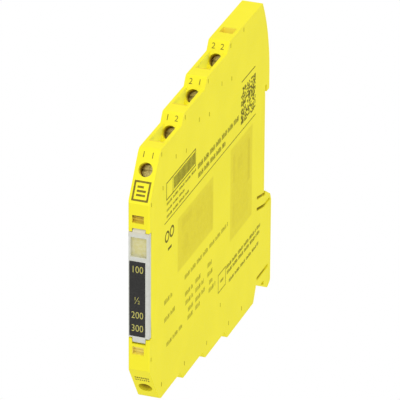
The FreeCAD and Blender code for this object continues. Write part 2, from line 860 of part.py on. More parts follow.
board_face = sketch_on(board, "YZ_Plane", "board_face - board_thickness")
brow_y = "(front_wall + cavity_brow)"
back_y = "(seat_depth - seat_wall - board_margin)"
foot_y = f"({FOOT_WALL} - foot_wall_depth - board_margin)"
step_z = f"({FOOT_CEILING} + seat_wall + board_margin)"
attic_y = "(seat_depth - back_lean - attic_start)"
add_polygon(
    board_face,
    [
        ("board_front", f"-{board_height(brow_y)} + 3"),
        (brow_y, f"-{board_height(brow_y)}"),
        (foot_y, f"-{board_height(foot_y)}"),
        (foot_y, step_z),
        (back_y, step_z),
        (back_y, f"{board_height(attic_y)} - 4"),
        (attic_y, board_height(attic_y)),
        (brow_y, board_height(brow_y)),
        ("board_front", f"{board_height(brow_y)} - 3"),
    ],
)
for name in RELAYS:
    add_polygon(board_face, relay_box(name, "relay_room"))
pad(board, board_face, "board_thickness")
settle(board)
pieces.append(board)

for name in BOARD_PARTS:
    body = new_body(name)
    footprint = sketch_on(body, "YZ_Plane", "board_face")
    add_polygon(
        footprint,
        box_corners(
            f"{name}_y - {name}_length / 2", f"{name}_y + {name}_length / 2",
            f"{name}_z - {name}_height / 2", f"{name}_z + {name}_height / 2",
        ),
    )
    pad(body, footprint, f"{name}_thickness")
    settle(body)
    pieces.append(body)

for name, (_, _, upright) in RELAYS.items():
    body = new_body(name)
    case = sketch_on(body, "YZ_Plane", f"{INNER_RIGHT} + panel_thinning - 0.15 - relay_thickness")
    add_polygon(case, relay_box(name, "0"))
    pad(body, case, "relay_thickness")
    long_edges = []
    for count, edge in enumerate(body.Shape.Edges, start=1):
        ends = [vertex.Point for vertex in edge.Vertexes]
        if abs(ends[0].y - ends[1].y) + abs(ends[0].z - ends[1].z) < 1e-6:
            long_edges.append(f"Edge{count}")
    round_edges(body, long_edges, "relay_corner")
    leads = sketch_on(body, "YZ_Plane", "board_face")
    for end in (-1, 1):
        for place in (-1, 0, 1):
            spread = f"{place} * relay_height / 3"
            along = f"{end} * (relay_length / 2 - 0.5)"
            beyond = f"{end} * (relay_length / 2 + relay_room + pin_length)"
            if upright:
                add_polygon(
                    leads,
                    box_corners(
                        f"{name}_y + {spread} - pin_width / 2", f"{name}_y + {spread} + pin_width / 2",
                        f"{name}_z + {along}", f"{name}_z + {beyond}",
                    ),
                )
            else:
                add_polygon(
                    leads,
                    box_corners(
                        f"{name}_y + {along}", f"{name}_y + {beyond}",
                        f"{name}_z + {spread} - pin_width / 2", f"{name}_z + {spread} + pin_width / 2",
                    ),
                )
    pad(body, leads, "pin_thickness")
    settle(body)
    pieces.append(body)

# ---------------------------------------------------------------- terminals


def terminal_frame(step):
    """Placement whose Z points out along a screw and whose Y points out along its wire."""
    place_y, place_z = at_terminal(step, "0", "0")
    turn = Rotation(Vector(1, 0, 0), 90 - number("driver_angle"))
    return Placement(SEAT + Vector(0, number(place_y), number(place_z)), turn)


def add_lower_twin(body, label):
    """The same piece at the mirrored terminal below mid height."""
    twin = doc.addObject("Part::Mirroring", label)
    twin.Source = body
    twin.Normal = (0, 0, 1)
    twin.Base = (0, 0, SEAT.z)
    twin.Label = label
    pieces.append(twin)


for step in TERMINALS:
    upper = step + 1
    lower = step + 5

    screw = new_body(f"terminal_screw_{upper}")
    head = sketch_on(screw, "XY_Plane", f"-{HEAD_UNDERSIDE}")
    add_circle(head, "0", "0", "head_radius")
    pad(screw, head, "head_height")
    shank = sketch_on(screw, "XY_Plane", f"-{BAR_DEPTH}")
    add_circle(shank, "0", "0", "shank_radius")
    pad(screw, shank, f"{BAR_DEPTH} - {HEAD_UNDERSIDE} + 0.2")
    slot = sketch_on(screw, "XY_Plane", "-head_depth")
    add_polygon(
        slot,
        box_corners("-head_radius - 0.1", "head_radius + 0.1", "-head_slot_width / 2", "head_slot_width / 2"),
    )
    pocket(screw, slot, "head_slot_depth")
    screw.Placement = terminal_frame(step)
    pieces.append(screw)
    add_lower_twin(screw, f"terminal_screw_{lower}")

    cage = new_body(f"clamp_cage_{upper}")
    cage_half = f"({INNER_RIGHT} - side_room)"
    loop = sketch_on(cage, "XZ_Plane")
    add_polygon(loop, box_corners(f"-{cage_half}", cage_half, f"-{CAGE_END}", f"-{CAGE_DEPTH}"))
    add_polygon(
        loop,
        box_corners(
            f"-{cage_half} + cage_side", f"{cage_half} - cage_side",
            f"-{WINDOW_DEPTH} - cage_window", f"-{WINDOW_DEPTH}",
        ),
    )
    pad(cage, loop, "cage_length", midplane=True)
    thread = sketch_on(cage, "XY_Plane", f"-{CAGE_DEPTH}")
    add_circle(thread, "0", "0", "shank_radius + thread_clearance")
    pocket(cage, thread, "cage_top + 0.1")
    cage.Placement = terminal_frame(step)
    pieces.append(cage)
    add_lower_twin(cage, f"clamp_cage_{lower}")

    bar = new_body(f"contact_bar_{upper}")
    strip = sketch_on(bar, "YZ_Plane")
    add_polygon(
        strip,
        box_corners("-cage_length / 2 - chamber_room", "cage_length / 2 + 0.1",
                    f"-{BAR_DEPTH} - bar_thickness", f"-{BAR_DEPTH}"),
    )
    pad(bar, strip, "bar_width", midplane=True)
    tail = sketch_on(bar, "YZ_Plane", "board_face")
    add_polygon(
        tail,
        [
            ("-bar_tail", f"-{BAR_DEPTH} - bar_tab"),
            ("-bar_tail + bar_thickness", f"-{BAR_DEPTH} - bar_tab"),
            ("-bar_tail + bar_thickness", f"-{BAR_DEPTH} - bar_thickness"),
            ("-cage_length / 2 - chamber_room", f"-{BAR_DEPTH} - bar_thickness"),
            ("-cage_length / 2 - chamber_room", f"-{BAR_DEPTH}"),
            ("-bar_tail", f"-{BAR_DEPTH}"),
        ],
    )
    pad(bar, tail, "bar_width / 2 - board_face")
    bar.Placement = terminal_frame(step)
    pieces.append(bar)
    add_lower_twin(bar, f"contact_bar_{lower}")

# ---------------------------------------------------------------- rail foot

foot = new_body("rail_foot")
FOOT_FRONT = f"({FOOT_WALL} + foot_gap)"
FOOT_TOP = f"({FOOT_CEILING} - foot_head_gap)"
NOTCH_FLOOR = f"({RAIL_BOTTOM} - 0.2)"
NOSE_FRONT = "(seat_depth + rail_thickness + 2 * rail_clearance)"
FOOT_BACK = "(seat_depth + foot_reach)"
NOSE_TOP = f"({RAIL_BOTTOM} + 1.0)"
ARM_UNDER = f"({FOOT_TOP} - foot_arm)"
profile_pad(
    foot,
    [
        (FOOT_FRONT, f"foot_bottom + foot_heel"),
        (f"{FOOT_BACK} - 2.6", "foot_bottom"),
        (FOOT_BACK, "foot_bottom + 1.2"),
        (FOOT_BACK, f"{NOSE_TOP} - foot_nose_drop - 2.2"),
        (f"{NOSE_FRONT} + foot_nose_run", f"{NOSE_TOP} - foot_nose_drop"),
        (NOSE_FRONT, NOSE_TOP),
        (NOSE_FRONT, NOTCH_FLOOR),
        ("seat_depth - 0.2", NOTCH_FLOOR),
        ("seat_depth - 0.2", f"{FOOT_TOP} - foot_head_fall"),
        (FOOT_FRONT, FOOT_TOP),
    ],
    "housing_width - 2 * foot_inset",
)
profile_pocket(
    foot,
    [
        [
            (f"{FOOT_FRONT} - 0.1", f"{ARM_UNDER} - foot_slit"),
            ("seat_depth + 0.5", f"{ARM_UNDER} - foot_slit - foot_arm_fall"),
            (f"{FOOT_BACK} - foot_web", f"{ARM_UNDER} - foot_slit - foot_arm_fall"),
            (f"{FOOT_BACK} - foot_web", f"{ARM_UNDER} - foot_arm_fall"),
            ("seat_depth + 0.5", f"{ARM_UNDER} - foot_arm_fall"),
            (f"{FOOT_FRONT} - 0.1", ARM_UNDER),
        ],
        box_corners(
            f"{FOOT_FRONT} + 0.8", f"{FOOT_BACK} - 2.4",
            "lower_slit - lower_slit_height / 2", "lower_slit + lower_slit_height / 2",
        ),
    ],
    "housing_width + 1",
)
heel = [(number(f"{FOOT_BACK} - 2.6"), number("foot_bottom")), (number(FOOT_BACK), number("foot_bottom + 1.2"))]
round_edges(foot, cross_edges(foot.Shape, heel), "foot_corner")
recess = sketch_on(foot, "YZ_Plane", "housing_width / 2 - foot_inset")
add_polygon(
    recess,
    [
        (f"{FOOT_FRONT} + 4.4", "lower_slit - lower_slit_height / 2 - 2.9"),
        (f"{FOOT_FRONT} + 7.1", "lower_slit - lower_slit_height / 2 - 4.2"),
        (f"{FOOT_FRONT} + 7.1", "lower_slit - lower_slit_height / 2 - 2.9"),
    ],
)
pocket(foot, recess, "pocket_depth")
tail_guide = sketch_on(foot, "XY_Plane", "tail_low")
add_polygon(tail_guide, tail_section("0"))
pad(foot, tail_guide, "tail_high - tail_low")
settle(foot)
pieces.append(foot)

# ---------------------------------------------------------------- checks and files

doc.recompute()
for item in doc.Objects:
    if "Invalid" in item.State or "Error" in item.State:
        raise RuntimeError(f"{item.Label} did not build: {item.State}")

os.makedirs("parts", exist_ok=True)
for piece in pieces:
    shape = piece.Shape
    if shape.isNull() or not shape.isValid():
        raise RuntimeError(f"{piece.Label} is not a valid solid")
    shape.exportStep(f"parts/{piece.Label}.step")
    box = shape.BoundBox
    print(f"{piece.Label:24s} solids {len(shape.Solids)} volume {shape.Volume:9.2f} "
          f"x {box.XMin:6.2f} {box.XMax:6.2f} y {box.YMin:7.2f} {box.YMax:6.2f} z {box.ZMin:7.2f} {box.ZMax:6.2f}")
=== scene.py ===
import math
import random

import bmesh
import bpy
from mathutils import Matrix, Vector


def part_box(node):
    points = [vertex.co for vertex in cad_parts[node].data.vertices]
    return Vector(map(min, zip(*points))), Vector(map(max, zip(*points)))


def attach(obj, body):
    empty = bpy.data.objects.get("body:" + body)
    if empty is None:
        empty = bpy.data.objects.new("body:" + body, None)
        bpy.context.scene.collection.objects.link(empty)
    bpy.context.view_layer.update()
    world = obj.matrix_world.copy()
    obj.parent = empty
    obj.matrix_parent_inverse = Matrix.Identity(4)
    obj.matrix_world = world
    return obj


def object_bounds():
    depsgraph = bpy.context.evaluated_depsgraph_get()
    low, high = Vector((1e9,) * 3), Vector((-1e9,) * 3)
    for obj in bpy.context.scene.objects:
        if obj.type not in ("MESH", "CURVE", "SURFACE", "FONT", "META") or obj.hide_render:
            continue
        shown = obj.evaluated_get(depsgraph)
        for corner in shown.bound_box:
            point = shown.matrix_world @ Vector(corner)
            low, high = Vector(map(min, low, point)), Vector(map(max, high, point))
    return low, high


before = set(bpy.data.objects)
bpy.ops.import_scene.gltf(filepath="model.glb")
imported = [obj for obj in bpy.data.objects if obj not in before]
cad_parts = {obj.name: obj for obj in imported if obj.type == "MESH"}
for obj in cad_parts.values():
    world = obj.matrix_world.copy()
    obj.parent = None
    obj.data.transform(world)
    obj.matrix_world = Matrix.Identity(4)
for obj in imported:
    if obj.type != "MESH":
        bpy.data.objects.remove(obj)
cad_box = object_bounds()

# Viewpoint. The relay is seen from its right-hand side, a little from above, through a long lens, so
# that the narrow front, the stepped upper edge and the large printed side all show.
MM = 0.001
view_turn = math.radians(19.63)
view_rise = math.radians(26.47)
view_roll = math.radians(0.36)
view_distance = 1.3864
view_target = Vector((0, -45.5, -1.9)) * MM
towards_viewer = Vector((
    math.sin(view_turn) * math.cos(view_rise),
    -math.cos(view_turn) * math.cos(view_rise),
    math.sin(view_rise),
))
camera_data = bpy.data.cameras.new("viewpoint")
camera_data.sensor_width = 36
camera_data.lens = 444.6
camera_data.shift_x = -0.0025
camera_data.shift_y = 0.029
camera_data.clip_start = 0.1
camera_data.clip_end = 20
camera = bpy.data.objects.new("viewpoint", camera_data)
camera.location = view_target + towards_viewer * view_distance
level_turn = (-towards_viewer).to_track_quat("-Z", "Y").to_matrix()
camera.rotation_euler = (level_turn @ Matrix.Rotation(view_roll, 3, "Z")).to_euler()
bpy.context.scene.collection.objects.link(camera)
bpy.context.scene.camera = camera

# Studio. A white tent of even light, one soft lamp before the front and a stronger one over the printed
# side, and a pale floor well below the relay, which hangs clear of it as it does on its rail.
FLOOR_DROP = 70 * MM
FLOOR_REACH = 4
FLOOR_PALE = (0.93, 0.93, 0.93, 1)
TENT_STRENGTH = 0.74
REFLECTED_WHITE = 0.45


def shown_white(tree, lit):
    """What the eye and clear parts see as plain white and a reflection sees dimmed."""
    rays = tree.nodes.new("ShaderNodeLightPath")
    seen = tree.nodes.new("ShaderNodeMath")
    seen.operation = "MAXIMUM"
    tree.links.new(rays.outputs["Is Camera Ray"], seen.inputs[0])
    tree.links.new(rays.outputs["Is Transmission Ray"], seen.inputs[1])
    for factor, strength in ((rays.outputs["Is Glossy Ray"], REFLECTED_WHITE), (seen.outputs[0], 1.0)):
        shine = tree.nodes.new("ShaderNodeEmission")
        shine.inputs["Strength"].default_value = strength
        mixed = tree.nodes.new("ShaderNodeMixShader")
        tree.links.new(factor, mixed.inputs[0])
        tree.links.new(lit, mixed.inputs[1])
        tree.links.new(shine.outputs[0], mixed.inputs[2])
        lit = mixed.outputs[0]
    return lit


world = bpy.data.worlds.new("white_tent")
world.use_nodes = True
bpy.context.scene.world = world
sky = world.node_tree
sky.nodes.clear()
tent_light = sky.nodes.new("ShaderNodeBackground")
tent_light.inputs["Color"].default_value = (1, 1, 1, 1)
tent_light.inputs["Strength"].default_value = TENT_STRENGTH
tent_output = sky.nodes.new("ShaderNodeOutputWorld")
sky.links.new(shown_white(sky, tent_light.outputs[0]), tent_output.inputs["Surface"])

floor_mesh = bmesh.new()
bmesh.ops.create_grid(floor_mesh, x_segments=1, y_segments=1, size=FLOOR_REACH)
bmesh.ops.translate(floor_mesh, verts=floor_mesh.verts, vec=(0, 0, cad_box[0].z - FLOOR_DROP))
floor_data = bpy.data.meshes.new("floor")
floor_mesh.to_mesh(floor_data)
floor_mesh.free()
floor = bpy.data.objects.new("floor", floor_data)
bpy.context.scene.collection.objects.link(floor)
floor_paint = bpy.data.materials.new("pale_floor")
floor_paint.use_nodes = True
floor_tree = floor_paint.node_tree
paint = floor_tree.nodes["Principled BSDF"]
paint.inputs["Base Color"].default_value = FLOOR_PALE
paint.inputs["Roughness"].default_value = 0.9
paint.inputs["Specular IOR Level"].default_value = 0.1
floor_tree.links.new(
    shown_white(floor_tree, paint.outputs[0]), floor_tree.nodes["Material Output"].inputs["Surface"])
floor_data.materials.append(floor_paint)


def soft_lamp(name, place, size, power):
    """A square soft lamp that faces the middle of the relay."""
    lamp_data = bpy.data.lights.new(name, "AREA")
    lamp_data.shape = "SQUARE"
    lamp_data.size = size
    lamp_data.energy = power
    lamp = bpy.data.objects.new(name, lamp_data)
    lamp.location = Vector(place)
    lamp.rotation_euler = (view_target - Vector(place)).to_track_quat("-Z", "Y").to_euler()
    bpy.context.scene.collection.objects.link(lamp)


soft_lamp("front_lamp", (-0.25, -0.85, 0.80), size=0.8, power=2.5)
soft_lamp("side_lamp", (0.70, -0.32, 1.15), size=0.7, power=6.9)

# Housing. Two mouldings in warm yellow polyamide, a tub and its inset cover, with a fine spark-eroded
# grain. The wall is thinner beside the two relays, so that their dark cases show through a little, and
# the tone changes in the openings, where the wall shades the plastic or light soaks through it.
shell_low, shell_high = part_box("housing_shell")
front_y = shell_low.y
middle_z = (shell_low.z + shell_high.z) / 2
side_x = shell_high.x
YELLOW = (0.90, 0.81, 0.030, 1)
CLOUDED = 0.97
SHADED_YELLOW = (0.68, 0.57, 0.016, 1)
UPPER_GROOVE_SHADE = (0.86, 0.67, 0.09, 1)
LOWER_TAN = (0.96, 0.82, 0.24, 1)
GROOVE_TOP_SHADOW = (0.34, 0.19, 0.04, 1)
TOP_MOUTH_SHADE = (0.93, 0.75, 0.07, 1)
LIP_SHADOW = (0.80, 0.62, 0.04, 1)
BORE_PAINTED_SHADE = (0.42, 0.24, 0.045, 1)
MOUTH_PAINTED_LIGHT = (1.0, 0.97, 0.13, 1)
SLIT_SHADE = (0.54, 0.44, 0.03, 1)

# The terminals: the slant of their screws, the foremost one's rim and step, and the stride to the next.
# All are in millimetres, in from the front face and up or down from mid height.
DRIVER_TURN = math.radians(33)
LEAN = math.sin(DRIVER_TURN)
REACH = math.cos(DRIVER_TURN)
BORE_START = (5.196, 33.42)
FIRST_CORNER = (8.3, 38.2)
TERMINAL_STEP = (18.6, 2.8)
TERMINALS = 4

# Where each tone starts and ends, in millimetres.
BORE_WALL = (2.04, 2.12)
BORE_TOP = (0.2, 2.6)
BORE_FLOOR = (6.0, 7.0)
MOUTH_TOP = (-0.12, -0.04)
MOUTH_BACK = (-0.3, -0.12)
MOUTH_FRONT = (0.8, 1.2)
CHANNEL_SIDE = (2.1, 2.3)
SIDE_SKIN = (0.3, 0.05)
SLIT_EDGE = (0.5, 0.25)
SLIT_FADE = 0.6


def new_material(name, roughness, metallic=0.0):
    material = bpy.data.materials.new(name)
    material.use_nodes = True
    surface = material.node_tree.nodes["Principled BSDF"]
    surface.inputs["Roughness"].default_value = roughness
    surface.inputs["Metallic"].default_value = metallic
    return material, material.node_tree, surface


def own_axes(tree):
    """The object's own coordinates, as three sockets."""
    place = tree.nodes.new("ShaderNodeTexCoord")
    axes = tree.nodes.new("ShaderNodeSeparateXYZ")
    tree.links.new(place.outputs["Object"], axes.inputs[0])
    return axes.outputs


def add_noise(tree, scale, detail):
    """Noise on the object's own coordinates, so that it stays with the piece."""
    place = tree.nodes.new("ShaderNodeTexCoord")
    noise = tree.nodes.new("ShaderNodeTexNoise")
    noise.inputs["Scale"].default_value = scale
    noise.inputs["Detail"].default_value = detail
    tree.links.new(place.outputs["Object"], noise.inputs["Vector"])
    return noise.outputs["Fac"]


def add_range(tree, source, low, high, to_low=0.0, to_high=1.0):
    """Maps a value smoothly from one range to another, and holds it at the ends."""
    ranged = tree.nodes.new("ShaderNodeMapRange")
    ranged.interpolation_type = "SMOOTHSTEP"
    ranged.inputs["From Min"].default_value = low
    ranged.inputs["From Max"].default_value = high
    ranged.inputs["To Min"].default_value = to_low
    ranged.inputs["To Max"].default_value = to_high
    tree.links.new(source, ranged.inputs["Value"])
    return ranged.outputs["Result"]


def add_patches(tree, scale, detail=3.0, spread=(0.3, 0.7), to_low=0.0, to_high=1.0):
    """Soft uneven patches of a value, whose noise is cut off at both ends of the spread."""
    return add_range(tree, add_noise(tree, scale, detail), spread[0], spread[1], to_low, to_high)


def add_math(tree, operation, first, second=0.0):
    """One step of arithmetic on two values, each a number or a socket."""
    node = tree.nodes.new("ShaderNodeMath")
    node.operation = operation
    for socket, value in zip(node.inputs, (first, second)):
        if isinstance(value, (int, float)):
            socket.default_value = value
        else:
            tree.links.new(value, socket)
    return node.outputs[0]


def add_product(tree, first, *factors):
    for factor in factors:
        first = add_math(tree, "MULTIPLY", first, factor)
    return first


def add_weighted(tree, first, first_share, second, second_share):
    """Two values added together, each times its share."""
    return add_math(
        tree, "ADD",
        add_math(tree, "MULTIPLY", first, first_share),
        add_math(tree, "MULTIPLY", second, second_share),
    )


def add_rise(tree, source, span):
    """A factor that goes from 0 to 1 over a span in millimetres."""
    return add_range(tree, source, span[0] * MM, span[1] * MM)


def add_fall(tree, source, span):
    """A factor that goes from 1 to 0 over a span in millimetres."""
    return add_range(tree, source, span[0] * MM, span[1] * MM, 1.0, 0.0)


def add_mix(tree, factor, first, second):
    """Mixes two colours, each a tuple or a socket."""
    mix = tree.nodes.new("ShaderNodeMix")
    mix.data_type = "RGBA"
    tree.links.new(factor, mix.inputs["Factor"])
    for socket, value in ((mix.inputs[6], first), (mix.inputs[7], second)):
        if isinstance(value, tuple):
            socket.default_value = value
        else:
            tree.links.new(value, socket)
    return mix.outputs[2]


def add_grain(tree, surface, scale, relief, strength=0.35):
    """Fine relief of a moulded or blasted surface."""
    bump = tree.nodes.new("ShaderNodeBump")
    bump.inputs["Strength"].default_value = strength
    bump.inputs["Distance"].default_value = relief
    tree.links.new(add_noise(tree, scale, detail=4.0), bump.inputs["Height"])
    tree.links.new(bump.outputs["Normal"], surface.inputs["Normal"])


def add_field(tree, axes, box, soft):
    """A factor that is 1 inside a box, seen from the side, and fades out at its edges."""
    low_y, high_y, low_z, high_z = (value * MM for value in box)
    inside = add_range(tree, axes["Y"], front_y + low_y - soft, front_y + low_y + soft)
    for axis, place, start, end in (
        ("Y", front_y + high_y, 1.0, 0.0),
        ("Z", middle_z + low_z, 0.0, 1.0),
        ("Z", middle_z + high_z, 1.0, 0.0),
    ):
        edge = add_range(tree, axes[axis], place - soft, place + soft, start, end)
        inside = add_math(tree, "MULTIPLY", inside, edge)
    return inside


def add_channel(tree, axes):
    """A factor that is 1 between the side walls and 0 on the two side faces."""
    return add_fall(tree, add_math(tree, "ABSOLUTE", axes["X"]), CHANNEL_SIDE)


def add_level(tree, axes):
    """The distance from mid height, up or down, so that the two halves share one pattern."""
    return add_math(tree, "ABSOLUTE", add_math(tree, "SUBTRACT", axes["Z"], middle_z))


def add_bore_shade(tree, axes):
    """A factor that is 1 on the walls of the screwdriver openings, below their rims.

    The openings of a half repeat along the steps, so one repeating distance serves them all."""
    level = add_level(tree, axes)
    inward = add_math(tree, "SUBTRACT", axes["Y"], front_y)
    start_along = (BORE_START[0] * LEAN + BORE_START[1] * REACH) * MM
    start_depth = (BORE_START[0] * REACH - BORE_START[1] * LEAN) * MM
    step_along = (TERMINAL_STEP[0] * LEAN + TERMINAL_STEP[1] * REACH) * MM
    step_depth = (TERMINAL_STEP[0] * REACH - TERMINAL_STEP[1] * LEAN) * MM
    along = add_math(tree, "SUBTRACT", add_weighted(tree, inward, LEAN, level, REACH), start_along)
    nearest = add_math(tree, "ADD", add_math(tree, "DIVIDE", along, step_along), 0.5)
    count = add_math(tree, "FLOOR", nearest)
    across = add_math(tree, "SUBTRACT", along, add_math(tree, "MULTIPLY", count, step_along))
    squares = add_math(
        tree, "ADD", add_math(tree, "POWER", across, 2.0), add_math(tree, "POWER", axes["X"], 2.0))
    radius = add_math(tree, "SQRT", squares)
    depth = add_math(tree, "SUBTRACT", add_weighted(tree, inward, REACH, level, -LEAN), start_depth)
    depth = add_math(tree, "SUBTRACT", depth, add_math(tree, "MULTIPLY", count, step_depth))
    return add_product(
        tree,
        add_fall(tree, radius, BORE_WALL),
        add_rise(tree, depth, BORE_TOP),
        add_fall(tree, depth, BORE_FLOOR),
        add_math(tree, "GREATER_THAN", count, -0.5),
    )


def add_mouth_shine(tree, axes):
    """A factor that is 1 in the wire mouths, where light soaks in through the thin steps."""
    from_corner = add_math(tree, "SUBTRACT", axes["Y"], front_y + FIRST_CORNER[0] * MM)
    step_in, step_up = (value * MM for value in TERMINAL_STEP)
    count = add_math(tree, "FLOOR", add_math(tree, "DIVIDE", from_corner, step_in))
    inward = add_math(tree, "SUBTRACT", from_corner, add_math(tree, "MULTIPLY", count, step_in))
    tread = add_math(tree, "ADD", add_math(tree, "MULTIPLY", count, step_up), FIRST_CORNER[1] * MM)
    level = add_math(tree, "SUBTRACT", add_level(tree, axes), tread)
    next_slope = (TERMINAL_STEP[0] * REACH - TERMINAL_STEP[1] * LEAN) * MM
    slope = add_math(tree, "SUBTRACT", add_weighted(tree, inward, REACH, level, -LEAN), next_slope)
    return add_product(
        tree,
        add_fall(tree, level, MOUTH_TOP),
        add_fall(tree, slope, MOUTH_BACK),
        add_rise(tree, inward, MOUTH_FRONT),
        add_channel(tree, axes),
        add_math(tree, "LESS_THAN", count, TERMINALS - 0.5),
        add_math(tree, "GREATER_THAN", count, -0.5),
    )


def moulded_yellow(name, see_through=(), shade_and_tone=(), openings=False, slits=()):
    """Grained yellow plastic, with its tone changed in the given places: painted shade in the openings,
    grooves and slits, and painted light in the wire mouths.
    """
    material, tree, surface = new_material(name, roughness=0.42)
    axes = own_axes(tree)
    clouds = add_patches(tree, scale=90, detail=2.0)
    colour = add_mix(tree, clouds, YELLOW, tuple(channel * CLOUDED for channel in YELLOW[:3]) + (1,))
    on_side = add_range(tree, axes["X"], side_x - SIDE_SKIN[0] * MM, side_x - SIDE_SKIN[1] * MM)
    for box, soft, share in see_through:
        inside = add_field(tree, axes, box, soft * MM)
        mottled = add_patches(
            tree, scale=700, spread=(0.2, 0.8), to_low=share * 0.8, to_high=share * 1.15)
        colour = add_mix(tree, add_product(tree, inside, mottled, on_side), colour, SHADED_YELLOW)
    if openings:
        # Painted light in the wire mouths, paler than the plain yellow.
        colour = add_mix(tree, add_mouth_shine(tree, axes), colour, MOUTH_PAINTED_LIGHT)
        # Painted shade on the walls of the screwdriver openings, below their rims.
        colour = add_mix(tree, add_bore_shade(tree, axes), colour, BORE_PAINTED_SHADE)
    # Painted shade in the grooves, the uppermost wire mouth and the notch lips, and a paler tan in the
    # lower groove.
    for box, field_colour, soft in shade_and_tone:
        inside = add_field(tree, axes, box, soft * MM)
        colour = add_mix(tree, add_product(tree, inside, add_channel(tree, axes)), colour, field_colour)
    # Painted shade in the slits, away from the side face.
    for box in slits:
        inside = add_field(tree, axes, box, SLIT_FADE * MM)
        across = add_math(tree, "ABSOLUTE", axes["X"])
        below = add_range(
            tree, across, side_x - SLIT_EDGE[0] * MM, side_x - SLIT_EDGE[1] * MM, 1.0, 0.0)
        colour = add_mix(tree, add_product(tree, inside, below), colour, SLIT_SHADE)
    tree.links.new(colour, surface.inputs["Base Color"])
    surface.inputs["Specular IOR Level"].default_value = 0.10
    polish = add_patches(tree, scale=2500, to_low=0.36, to_high=0.5)
    tree.links.new(polish, surface.inputs["Roughness"])
    add_grain(tree, surface, scale=5200, relief=0.03 * MM)
    return material


def finish_node(name, material):
    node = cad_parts[name]
    node.data.materials.clear()
    node.data.materials.append(material)


# Fields seen through the wall: Y from the front face, Z from mid height, softness and depth of tone.
SEE_THROUGH = (
    ((22.5, 51.4, -5.6, 10.9), 0.5, 0.55),
    ((25.5, 50.6, -3.4, 9.6), 1.2, 0.25),
    ((26.0, 33.6, 6.6, 9.2), 0.5, 0.50),
    ((28.0, 31.0, -1.0, 3.4), 0.5, 0.35),
    ((37.6, 42.5, 3.0, 6.2), 0.8, 0.30),
    ((49.3, 51.2, -5.0, 6.0), 0.7, 0.30),
    ((66.0, 84.6, -16.6, 12.3), 0.5, 0.50),
    ((68.0, 81.5, -13.5, 10.5), 1.4, 0.22),
    ((80.8, 82.6, -4.0, 9.0), 0.6, 0.80),
    ((72.0, 76.4, 3.4, 7.0), 0.6, 0.35),
    ((68.0, 69.8, 1.0, 9.8), 0.6, 0.40),
    ((67.8, 69.4, -13.0, -6.0), 0.7, 0.35),
)

# Painted shade and tone, with their softness: painted shade in the upper marker groove with a painted
# shadow under its top edge, a paler tan in the lower marker groove, painted shade in the uppermost wire
# mouth and painted shadow along the front lips of the three notches.
SHADE_AND_TONE_FIELDS = (
    ((0.2, 2.2, 19.5, 21.9), UPPER_GROOVE_SHADE, 0.05),
    ((0.2, 2.2, 20.95, 22.2), GROOVE_TOP_SHADOW, 0.18),
    ((0.2, 2.2, -20.7, -18.3), LOWER_TAN, 0.05),
    ((69.3, 73.8, 38.0, 46.45), TOP_MOUTH_SHADE, 0.1),
    ((13.35, 13.95, 37.5, 38.5), LIP_SHADOW, 0.12),
    ((31.95, 32.55, 40.3, 41.3), LIP_SHADOW, 0.12),
    ((50.55, 51.15, 43.1, 44.1), LIP_SHADOW, 0.12),
)

# Slits between the housing and its foot, with painted shade in them below the side face.
SLITS = ((88.5, 98.2, -20.4, -13.0), (88.5, 98.2, -44.4, -38.4))
finish_node("housing_shell", moulded_yellow("housing_yellow", SEE_THROUGH, SHADE_AND_TONE_FIELDS, True, SLITS))
finish_node("housing_cover", moulded_yellow("cover_yellow"))

# Rail foot. The same yellow moulding, a sprung claw that slides in a guide at the back of the housing
# and takes the rail's lower lip.
finish_node("rail_foot", moulded_yellow("foot_yellow", slits=SLITS))

# Front flap. Frosted clear plastic, hinged at its foot, with a thinner window above the label through
# which the yellow front shows, and a warm tone in the tongue at its top.
WINDOW_SIDES = (-2.4, 2.2)
WINDOW_HEIGHTS = (9.3, 15.2)
TONGUE_WARMING = (15.4, 17.0)
MILK_DARK = (0.66, 0.67, 0.60, 1)
MILK_LIGHT = (0.72, 0.73, 0.67, 1)
TONGUE_WARM = (0.74, 0.70, 0.54, 1)
BEHIND_DARK = (0.88, 0.82, 0.40, 1)
BEHIND_LIGHT = (0.94, 0.90, 0.56, 1)
MILK_ALPHA = 0.88
WINDOW_ALPHA = 0.55
SIDE_SOFTNESS = 0.1 * MM
END_SOFTNESS = 0.12 * MM


def frosted_clear():
    material, tree, surface = new_material("frosted_clear", roughness=0.3)
    axes = own_axes(tree)
    low_x, high_x = (value * MM for value in WINDOW_SIDES)
    low_z, high_z = (middle_z + value * MM for value in WINDOW_HEIGHTS)
    window = add_range(tree, axes["X"], low_x - SIDE_SOFTNESS, low_x + SIDE_SOFTNESS)
    for axis, place, start, end in (
        ("X", high_x, 1.0, 0.0),
        ("Z", low_z, 0.0, 1.0),
        ("Z", high_z, 1.0, 0.0),
    ):
        edge = add_range(tree, axes[axis], place - END_SOFTNESS, place + END_SOFTNESS, start, end)
        window = add_math(tree, "MULTIPLY", window, edge)
    haze = add_patches(tree, scale=900)
    low_z, high_z = (middle_z + value * MM for value in TONGUE_WARMING)
    tongue = add_range(tree, axes["Z"], low_z, high_z)
    milk = add_mix(tree, tongue, add_mix(tree, haze, MILK_DARK, MILK_LIGHT), TONGUE_WARM)
    streaks = add_patches(tree, scale=1100, detail=2.0, spread=(0.35, 0.65))
    behind = add_mix(tree, streaks, BEHIND_DARK, BEHIND_LIGHT)
    tree.links.new(add_mix(tree, window, milk, behind), surface.inputs["Base Color"])
    clearness = add_range(tree, window, 0.0, 1.0, MILK_ALPHA, WINDOW_ALPHA)
    tree.links.new(clearness, surface.inputs["Alpha"])
    surface.inputs["IOR"].default_value = 1.49
    surface.inputs["Coat Weight"].default_value = 0.3
    surface.inputs["Coat Roughness"].default_value = 0.12
    add_grain(tree, surface, scale=1500, relief=0.02 * MM, strength=0.2)
    return material


finish_node("front_flap", frosted_clear())

